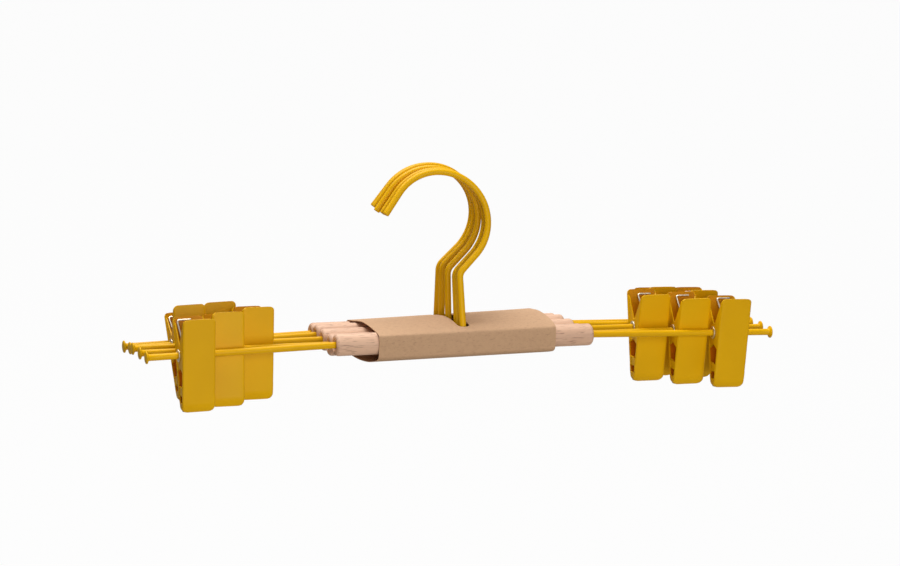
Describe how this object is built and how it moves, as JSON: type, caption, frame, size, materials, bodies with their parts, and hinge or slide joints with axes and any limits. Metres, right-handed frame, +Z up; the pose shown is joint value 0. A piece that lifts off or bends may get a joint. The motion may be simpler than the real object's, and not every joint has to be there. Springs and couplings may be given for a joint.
{
  "type": "clip hanger set",
  "caption": "Clip hangers with wire hooks, turned wooden crosspieces, coated rods and sprung metal clips, bundled side by side in a folded card sleeve.",
  "frame": {"origin": "the seat inside the hook crowns, on the line where a wardrobe rail carries the set", "axes": "+X along the hangers to the viewer's right, +Y from the front hanger to the rear one, +Z up"},
  "size_m": [0.4219, 0.0893, 0.1484],
  "materials": {
    "yellow_coat": "satin powder coat, mustard yellow",
    "beech": "bare sanded beech",
    "nickel": "bright nickel plate",
    "kraft_card": "uncoated brown kraft card"
  },
  "bodies": {
    "hangers_and_sleeve": {"hook_e": "yellow_coat", "dowel_e": "beech", "rod_e": "yellow_coat", "hook_d": "yellow_coat", "dowel_d": "beech", "rod_d": "yellow_coat", "hook_c": "yellow_coat", "dowel_c": "beech", "rod_c": "yellow_coat", "hook_b": "yellow_coat", "dowel_b": "beech", "rod_b": "yellow_coat", "hook_a": "yellow_coat", "dowel_a": "beech", "rod_a": "yellow_coat", "sleeve": "kraft_card"},
    "clip_l1": {"rivet_l1": "nickel"},
    "back_half_l1": {"jaw_back_l1": "yellow_coat", "spring_l1": "nickel"},
    "front_half_l1": {"jaw_front_l1": "yellow_coat"},
    "clip_l2": {"rivet_l2": "nickel"},
    "back_half_l2": {"jaw_back_l2": "yellow_coat", "spring_l2": "nickel"},
    "front_half_l2": {"jaw_front_l2": "yellow_coat"},
    "clip_l3": {"rivet_l3": "nickel"},
    "back_half_l3": {"jaw_back_l3": "yellow_coat", "spring_l3": "nickel"},
    "front_half_l3": {"jaw_front_l3": "yellow_coat"},
    "clip_l4": {"rivet_l4": "nickel"},
    "back_half_l4": {"jaw_back_l4": "yellow_coat", "spring_l4": "nickel"},
    "front_half_l4": {"jaw_front_l4": "yellow_coat"},
    "clip_l5": {"rivet_l5": "nickel"},
    "back_half_l5": {"jaw_back_l5": "yellow_coat", "spring_l5": "nickel"},
    "front_half_l5": {"jaw_front_l5": "yellow_coat"},
    "clip_r1": {"rivet_r1": "nickel"},
    "back_half_r1": {"jaw_back_r1": "yellow_coat", "spring_r1": "nickel"},
    "front_half_r1": {"jaw_front_r1": "yellow_coat"},
    "clip_r2": {"rivet_r2": "nickel"},
    "back_half_r2": {"jaw_back_r2": "yellow_coat", "spring_r2": "nickel"},
    "front_half_r2": {"jaw_front_r2": "yellow_coat"},
    "clip_r3": {"rivet_r3": "nickel"},
    "back_half_r3": {"jaw_back_r3": "yellow_coat", "spring_r3": "nickel"},
    "front_half_r3": {"jaw_front_r3": "yellow_coat"},
    "clip_r4": {"rivet_r4": "nickel"},
    "back_half_r4": {"jaw_back_r4": "yellow_coat", "spring_r4": "nickel"},
    "front_half_r4": {"jaw_front_r4": "yellow_coat"},
    "clip_r5": {"rivet_r5": "nickel"},
    "back_half_r5": {"jaw_back_r5": "yellow_coat", "spring_r5": "nickel"},
    "front_half_r5": {"jaw_front_r5": "yellow_coat"}
  },
  "joints": [
    {"name": "slide_l1", "type": "slide", "parent": "hangers_and_sleeve", "child": "clip_l1", "axis": [0.9997, 0, 0.0244], "range_m": [-0.0155, 0.0005]},
    {"name": "swing_l1", "type": "hinge", "parent": "clip_l1", "child": "back_half_l1", "pos_m": [-0.1652, -0.0459, -0.1022], "axis": [0.9997, 0, 0.0244], "range_deg": [-12, 12]},
    {"name": "open_l1", "type": "hinge", "parent": "back_half_l1", "child": "front_half_l1", "pos_m": [-0.1652, -0.0459, -0.1022], "axis": [-0.9997, 0, -0.0244], "range_deg": [0, 25], "stiffness_Nm_per_rad": 0.3, "springref_deg": -28.65, "deforming": ["spring_l1"]},
    {"name": "slide_l2", "type": "slide", "parent": "hangers_and_sleeve", "child": "clip_l2", "axis": [1, 0, 0.0017], "range_m": [-0.0005, 0.0009]},
    {"name": "swing_l2", "type": "hinge", "parent": "clip_l2", "child": "back_half_l2", "pos_m": [-0.1426, -0.0317, -0.10312], "axis": [1, 0, 0.0017], "range_deg": [-4, 6]},
    {"name": "open_l2", "type": "hinge", "parent": "back_half_l2", "child": "front_half_l2", "pos_m": [-0.1426, -0.0317, -0.10312], "axis": [-1, 0, -0.0017], "range_deg": [0, 25], "stiffness_Nm_per_rad": 0.3, "springref_deg": -28.65, "deforming": ["spring_l2"]},
    {"name": "slide_l3", "type": "slide", "parent": "hangers_and_sleeve", "child": "clip_l3", "axis": [1, 0, 0.0052], "range_m": [-0.0009, 0.031]},
    {"name": "swing_l3", "type": "hinge", "parent": "clip_l3", "child": "back_half_l3", "pos_m": [-0.1195, -0.0175, -0.10303], "axis": [1, 0, 0.0052], "range_deg": [-6, 6]},
    {"name": "open_l3", "type": "hinge", "parent": "back_half_l3", "child": "front_half_l3", "pos_m": [-0.1195, -0.0175, -0.10303], "axis": [-1, 0, -0.0052], "range_deg": [0, 25], "stiffness_Nm_per_rad": 0.3, "springref_deg": -28.65, "deforming": ["spring_l3"]},
    {"name": "slide_l4", "type": "slide", "parent": "hangers_and_sleeve", "child": "clip_l4", "axis": [0.9996, 0, 0.0279], "range_m": [-0.019, 0.001]},
    {"name": "swing_l4", "type": "hinge", "parent": "clip_l4", "child": "back_half_l4", "pos_m": [-0.1585, -0.0033, -0.10533], "axis": [0.9996, 0, 0.0279], "range_deg": [-6, 4]},
    {"name": "open_l4", "type": "hinge", "parent": "back_half_l4", "child": "front_half_l4", "pos_m": [-0.1585, -0.0033, -0.10533], "axis": [-0.9996, 0, -0.0279], "range_deg": [0, 25], "stiffness_Nm_per_rad": 0.3, "springref_deg": -28.65, "deforming": ["spring_l4"]},
    {"name": "slide_l5", "type": "slide", "parent": "hangers_and_sleeve", "child": "clip_l5", "axis": [0.9996, 0, 0.0279], "range_m": [-0.001, 0.048]},
    {"name": "swing_l5", "type": "hinge", "parent": "clip_l5", "child": "back_half_l5", "pos_m": [-0.135, 0.0109, -0.1069], "axis": [0.9996, 0, 0.0279], "range_deg": [-6, 4]},
    {"name": "open_l5", "type": "hinge", "parent": "back_half_l5", "child": "front_half_l5", "pos_m": [-0.135, 0.0109, -0.1069], "axis": [-0.9996, 0, -0.0279], "range_deg": [0, 25], "stiffness_Nm_per_rad": 0.3, "springref_deg": -28.65, "deforming": ["spring_l5"]},
    {"name": "slide_r1", "type": "slide", "parent": "hangers_and_sleeve", "child": "clip_r1", "axis": [0.9996, 0, -0.0279], "range_m": [-0.0002, 0.0145]},
    {"name": "swing_r1", "type": "hinge", "parent": "clip_r1", "child": "back_half_r1", "pos_m": [0.1922, -0.0459, -0.10266], "axis": [0.9996, 0, -0.0279], "range_deg": [-12, 12]},
    {"name": "open_r1", "type": "hinge", "parent": "back_half_r1", "child": "front_half_r1", "pos_m": [0.1922, -0.0459, -0.10266], "axis": [-0.9996, 0, 0.0279], "range_deg": [0, 25], "stiffness_Nm_per_rad": 0.3, "springref_deg": -28.65, "deforming": ["spring_r1"]},
    {"name": "slide_r2", "type": "slide", "parent": "hangers_and_sleeve", "child": "clip_r2", "axis": [1, 0, -0.0017], "range_m": [-0.0002, 0.0002]},
    {"name": "swing_r2", "type": "hinge", "parent": "clip_r2", "child": "back_half_r2", "pos_m": [0.1699, -0.0317, -0.10313], "axis": [1, 0, -0.0017], "range_deg": [-3, 6]},
    {"name": "open_r2", "type": "hinge", "parent": "back_half_r2", "child": "front_half_r2", "pos_m": [0.1699, -0.0317, -0.10313], "axis": [-1, 0, 0.0017], "range_deg": [0, 25], "stiffness_Nm_per_rad": 0.3, "springref_deg": -28.65, "deforming": ["spring_r2"]},
    {"name": "slide_r3", "type": "slide", "parent": "hangers_and_sleeve", "child": "clip_r3", "axis": [1, 0, -0.007], "range_m": [-0.037, 0.0001]},
    {"name": "swing_r3", "type": "hinge", "parent": "clip_r3", "child": "back_half_r3", "pos_m": [0.1476, -0.0175, -0.10317], "axis": [1, 0, -0.007], "range_deg": [-5, 6]},
    {"name": "open_r3", "type": "hinge", "parent": "back_half_r3", "child": "front_half_r3", "pos_m": [0.1476, -0.0175, -0.10317], "axis": [-1, 0, 0.007], "range_deg": [0, 25], "stiffness_Nm_per_rad": 0.3, "springref_deg": -28.65, "deforming": ["spring_r3"]},
    {"name": "slide_r4", "type": "slide", "parent": "hangers_and_sleeve", "child": "clip_r4", "axis": [0.9996, 0, -0.0279], "range_m": [-0.0001, 0.018]},
    {"name": "swing_r4", "type": "hinge", "parent": "clip_r4", "child": "back_half_r4", "pos_m": [0.1868, -0.0033, -0.10561], "axis": [0.9996, 0, -0.0279], "range_deg": [-6, 3]},
    {"name": "open_r4", "type": "hinge", "parent": "back_half_r4", "child": "front_half_r4", "pos_m": [0.1868, -0.0033, -0.10561], "axis": [-0.9996, 0, 0.0279], "range_deg": [0, 25], "stiffness_Nm_per_rad": 0.3, "springref_deg": -28.65, "deforming": ["spring_r4"]},
    {"name": "slide_r5", "type": "slide", "parent": "hangers_and_sleeve", "child": "clip_r5", "axis": [0.9997, 0, -0.0227], "range_m": [-0.055, 0.0001]},
    {"name": "swing_r5", "type": "hinge", "parent": "clip_r5", "child": "back_half_r5", "pos_m": [0.1646, 0.0109, -0.10682], "axis": [0.9997, 0, -0.0227], "range_deg": [-5, 3]},
    {"name": "open_r5", "type": "hinge", "parent": "back_half_r5", "child": "front_half_r5", "pos_m": [0.1646, 0.0109, -0.10682], "axis": [-0.9997, 0, 0.0227], "range_deg": [0, 25], "stiffness_Nm_per_rad": 0.3, "springref_deg": -28.65, "deforming": ["spring_r5"]}
  ]
}
